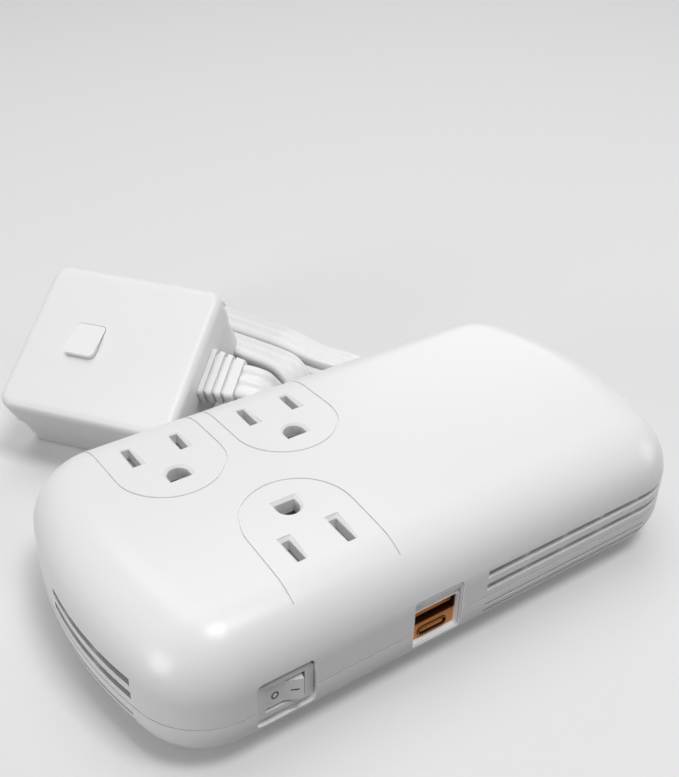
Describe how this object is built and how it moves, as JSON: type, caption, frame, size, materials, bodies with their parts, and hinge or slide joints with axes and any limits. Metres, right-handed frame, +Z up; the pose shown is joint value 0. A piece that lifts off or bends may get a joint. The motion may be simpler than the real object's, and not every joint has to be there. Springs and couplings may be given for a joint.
{
  "type": "travel voltage converter",
  "caption": "Low rounded white travel voltage converter with grounded outlets, rocker switch, USB window, side vents and a flat corded round-pin plug head.",
  "frame": {"origin": "on the table, under the middle of the case's outline, cord and plug head apart", "axes": "+X along the case towards its electronics end, away from the switch; -Y towards the long side with the switch and the USB window; +Z up"},
  "size_m": [0.1594, 0.1801, 0.0452],
  "materials": {
    "case_plastic": "satin white moulding",
    "plug_plastic": "satin white moulding",
    "switch_plastic": "satin pale grey moulding",
    "port_orange": "satin orange moulding",
    "port_insert": "orange tongue",
    "port_metal": "bright plated",
    "carrier_plastic": "grey moulding",
    "shutter_plastic": "grey moulding",
    "contact_brass": "bright stamping",
    "spring_steel": "drawn wire",
    "screw_steel": "zinc plated",
    "foot_rubber": "matt grey",
    "board_green": "solder mask",
    "fan_plastic": "matt black",
    "capacitor_sleeve": "shrink sleeve",
    "core_ferrite": "sintered",
    "winding_tape": "yellow tape",
    "winding_copper": "enamelled wire",
    "sink_aluminium": "extruded",
    "transistor_epoxy": "moulded epoxy",
    "fuse_glass": "clear tube with caps",
    "cord_vinyl": "white flexible vinyl",
    "pin_nickel": "nickel plated"
  },
  "bodies": {
    "converter": {"board_screws": "screw_steel", "bottom_shell": "case_plastic", "bulk_capacitors": "capacitor_sleeve", "carrier_screws": "screw_steel", "case_screws": "screw_steel", "choke_core": "core_ferrite", "choke_winding": "winding_copper", "control_board": "board_green", "cord_hank": "cord_vinyl", "cord_lead_inlet": "cord_vinyl", "cord_lead_plug": "cord_vinyl", "fan_frame": "fan_plastic", "fuse_clips": "contact_brass", "ground_contacts": "contact_brass", "hank_tie": "cord_vinyl", "heat_sink_far": "sink_aluminium", "heat_sink_near": "sink_aluminium", "inlet_strain_relief": "cord_vinyl", "line_contacts": "contact_brass", "line_fuse": "fuse_glass", "main_board": "board_green", "neutral_contacts": "contact_brass", "outlet_carrier_1": "carrier_plastic", "outlet_carrier_2": "carrier_plastic", "outlet_carrier_3": "carrier_plastic", "plug_base": "plug_plastic", "plug_button_spring": "spring_steel", "plug_cover": "plug_plastic", "plug_pin_plate": "carrier_plastic", "plug_pins": "pin_nickel", "plug_screws": "screw_steel", "plug_strain_relief": "cord_vinyl", "power_transistors": "transistor_epoxy", "rubber_feet": "foot_rubber", "shutter_spring_1": "spring_steel", "shutter_spring_2": "spring_steel", "shutter_spring_3": "spring_steel", "switch_housing": "switch_plastic", "switch_terminals": "contact_brass", "top_shell": "case_plastic", "transformer_core": "core_ferrite", "transformer_winding": "winding_tape", "usb_a_insert": "port_insert", "usb_a_shell": "port_metal", "usb_board": "board_green", "usb_c_insert": "port_insert", "usb_c_shell": "port_metal", "usb_faceplate": "port_orange"},
    "fan_rotor": {"fan_rotor": "fan_plastic"},
    "rocker": {"switch_rocker": "switch_plastic"},
    "shutter_1": {"shutter_1": "shutter_plastic"},
    "shutter_2": {"shutter_2": "shutter_plastic"},
    "shutter_3": {"shutter_3": "shutter_plastic"},
    "plug_button": {"plug_button": "plug_plastic"}
  },
  "joints": [
    {"name": "fan_spin", "type": "hinge", "parent": "converter", "child": "fan_rotor", "pos_m": [-0.0644, -0.0096, 0.017], "axis": [1, 0, 0], "continuous": true},
    {"name": "rocker_tilt", "type": "hinge", "parent": "converter", "child": "rocker", "pos_m": [-0.0487, -0.03985, 0.015], "axis": [0, 0, 1], "range_deg": [0, 24]},
    {"name": "shutter_1_slide", "type": "slide", "parent": "converter", "child": "shutter_1", "axis": [1, 0, 0], "range_m": [0, 0.0026], "stiffness_N_per_m": 120, "springref_m": -0.002, "deforming": ["shutter_spring_1"]},
    {"name": "shutter_2_slide", "type": "slide", "parent": "converter", "child": "shutter_2", "axis": [1, 0, 0], "range_m": [0, 0.0026], "stiffness_N_per_m": 120, "springref_m": -0.002, "deforming": ["shutter_spring_2"]},
    {"name": "shutter_3_slide", "type": "slide", "parent": "converter", "child": "shutter_3", "axis": [-1, 0, 0], "range_m": [0, 0.0026], "stiffness_N_per_m": 120, "springref_m": -0.002, "deforming": ["shutter_spring_3"]},
    {"name": "plug_button_press", "type": "slide", "parent": "converter", "child": "plug_button", "axis": [0.4082, 0.3189, -0.8554], "range_m": [0, 0.0015], "stiffness_N_per_m": 400, "springref_m": -0.003, "deforming": ["plug_button_spring"]}
  ]
}
